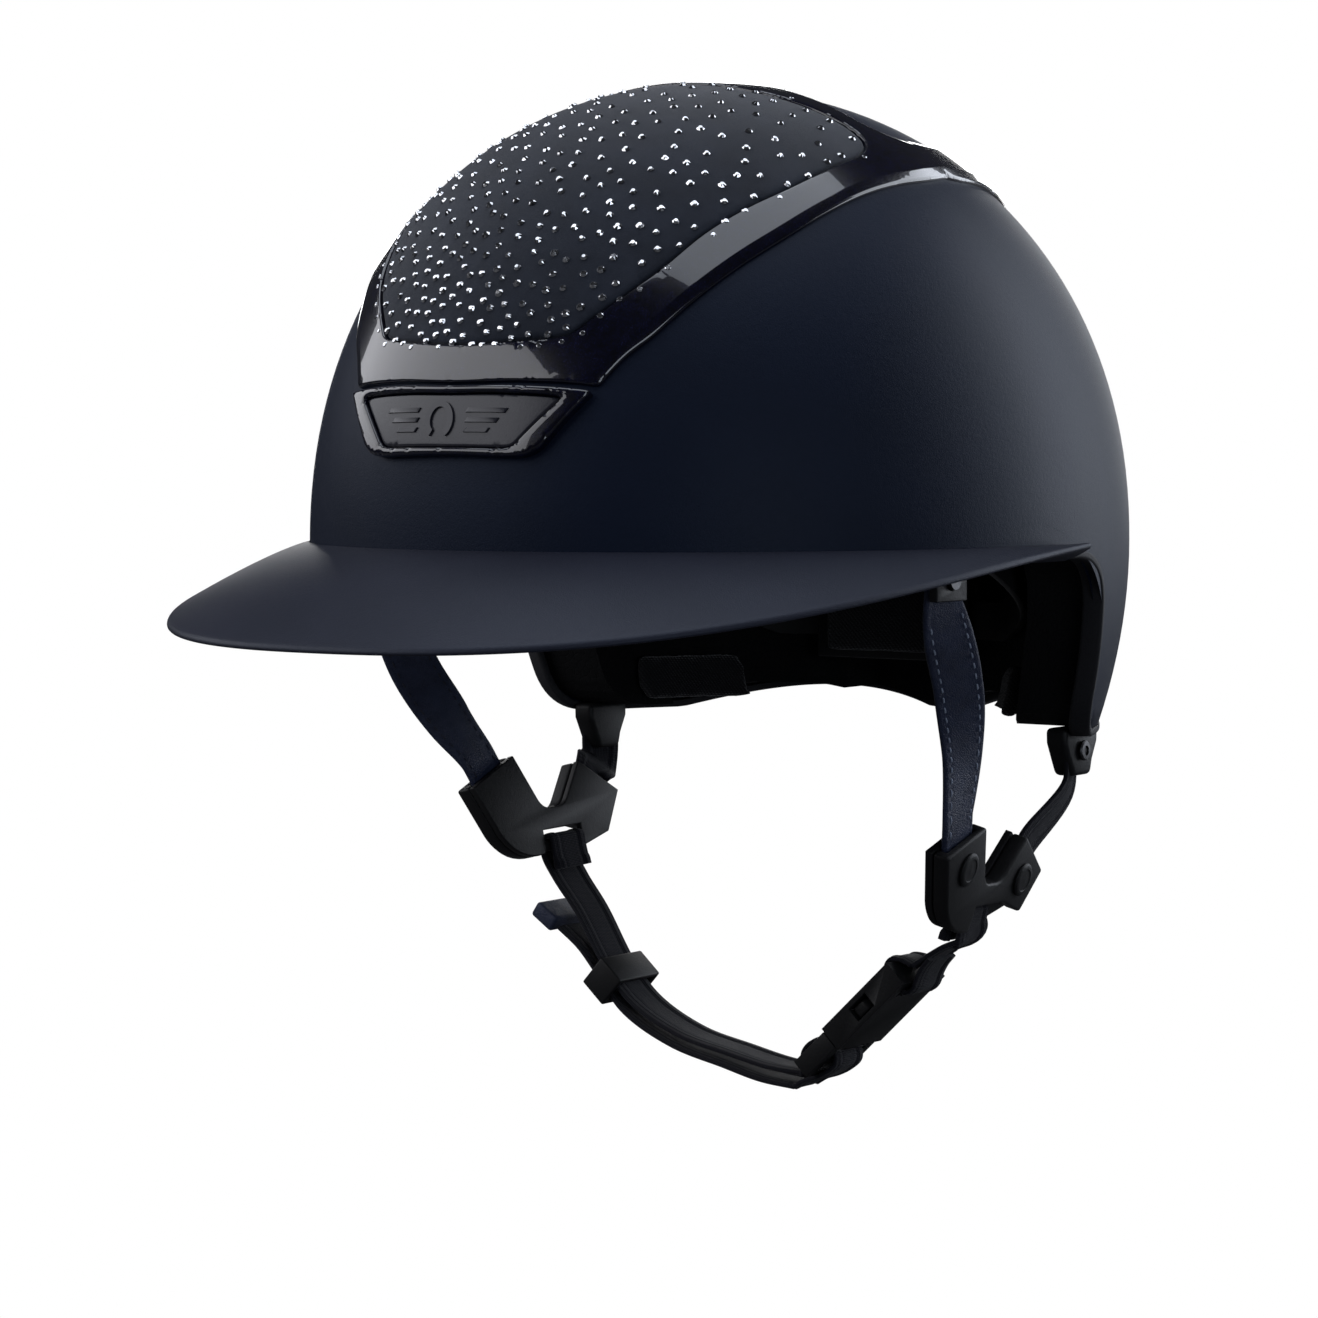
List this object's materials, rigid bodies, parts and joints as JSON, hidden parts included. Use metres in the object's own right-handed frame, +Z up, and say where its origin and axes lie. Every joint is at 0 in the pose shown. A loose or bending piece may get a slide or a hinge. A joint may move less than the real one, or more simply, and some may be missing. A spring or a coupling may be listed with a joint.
{
  "type": "equestrian riding helmet",
  "caption": "Riding helmet with a long brim, gloss frame, crystal-set crown panel, padded liner with a fit dial, and a four-point harness with a side-release buckle.",
  "frame": {"origin": "centre of the head space at the brim's level, where the shell is widest", "axes": "+Z up through the crown, -Y towards the front of the brim, +X towards the wearer's left"},
  "size_m": [0.24, 0.337, 0.2953],
  "materials": {
    "shell": "matt navy",
    "foam": "moulded foam",
    "brim": "matt navy",
    "trim": "soft edge",
    "gloss": "high gloss with fine flake",
    "suede": "microsuede",
    "plate": "satin",
    "fabric": "brushed knit",
    "plastic": "fine grain",
    "steel": "brushed",
    "leather": "stitched navy",
    "webbing": "woven"
  },
  "bodies": {
    "helmet": {"outer_shell": "shell", "impact_liner": "foam", "brim": "brim", "edge_trim": "trim", "gloss_frame": "gloss", "crown_panel": "suede", "vent_grille": "plastic", "badge_bezel": "gloss", "badge_plate": "plate", "forehead_pad": "fabric", "crown_pad": "fabric", "side_pad_left": "fabric", "ear_pad_left": "fabric", "front_anchor_left": "plastic", "front_rivet_left": "steel", "rear_guide_left": "plastic", "guide_screw_left": "steel", "temple_pin_left": "steel", "side_pad_right": "fabric", "ear_pad_right": "fabric", "front_anchor_right": "plastic", "front_rivet_right": "steel", "rear_guide_right": "plastic", "guide_screw_right": "steel", "temple_pin_right": "steel"},
    "harness": {"front_strap_left": "leather", "rear_strap_left": "webbing", "divider_cover_left": "plastic", "divider_back_left": "plastic", "front_stud_left": "plastic", "rear_stud_left": "plastic", "front_strap_right": "leather", "rear_strap_right": "webbing", "divider_cover_right": "plastic", "divider_back_right": "plastic", "front_stud_right": "plastic", "rear_stud_right": "plastic", "chin_strap_long": "webbing", "chin_strap_short": "webbing", "strap_tail": "webbing", "strap_end_tab": "leather", "buckle_socket": "plastic"},
    "keeper": {"keeper_loop": "plastic"},
    "clip": {"buckle_clip": "plastic"},
    "prong_rear": {"buckle_prong_rear": "plastic"},
    "prong_front": {"buckle_prong_front": "plastic"},
    "cradle": {"dial_housing": "plastic", "cradle_pad": "fabric"},
    "left_band": {"band_left": "plastic"},
    "right_band": {"band_right": "plastic"},
    "dial": {"dial_pinion": "plastic", "dial_knob": "plastic"}
  },
  "joints": [
    {"name": "harness_swing", "type": "hinge", "parent": "helmet", "child": "harness", "pos_m": [0, -0.034, -0.007], "axis": [1, 0, 0], "range_deg": [0, 6], "deforming": ["rear_strap_left", "rear_strap_right"]},
    {"name": "buckle_pull", "type": "slide", "parent": "harness", "child": "clip", "axis": [-0.7116, -0.0407, -0.7014], "range_m": [0, 0.02], "deforming": ["chin_strap_long", "strap_tail", "buckle_prong_rear", "buckle_prong_front"]},
    {"name": "prong_rear_squeeze", "type": "hinge", "parent": "clip", "child": "prong_rear", "pos_m": [0.03828, 0.02104, -0.14486], "axis": [0.702, 0, -0.7122], "range_deg": [0, 9], "stiffness_Nm_per_rad": 0.0002},
    {"name": "prong_front_squeeze", "type": "hinge", "parent": "clip", "child": "prong_front", "pos_m": [0.03865, 0.00805, -0.14449], "axis": [-0.702, 0, 0.7122], "range_deg": [0, 9], "stiffness_Nm_per_rad": 0.0002},
    {"name": "keeper_slide", "type": "slide", "parent": "harness", "child": "keeper", "axis": [-0.745, 0, 0.667], "range_m": [-0.006, 0.006]},
    {"name": "cradle_tilt", "type": "hinge", "parent": "helmet", "child": "cradle", "pos_m": [0, -0.006, 0.008], "axis": [1, 0, 0], "range_deg": [-4, 4]},
    {"name": "dial_turn", "type": "hinge", "parent": "cradle", "child": "dial", "pos_m": [0, 0.104, -0.026], "axis": [0, 1, 0], "range_deg": [0, 57.3]},
    {"name": "left_band_slide", "type": "slide", "parent": "cradle", "child": "left_band", "axis": [-1, 0, 0], "range_m": [0, 0.004]},
    {"name": "right_band_slide", "type": "slide", "parent": "cradle", "child": "right_band", "axis": [1, 0, 0], "range_m": [0, 0.004]}
  ],
  "couplings": [
    {"joint": "prong_front_squeeze", "follows": "prong_rear_squeeze", "ratio": 1},
    {"joint": "dial_turn", "follows": "left_band_slide", "rad_per_m": 250},
    {"joint": "right_band_slide", "follows": "left_band_slide", "ratio": 1}
  ]
}
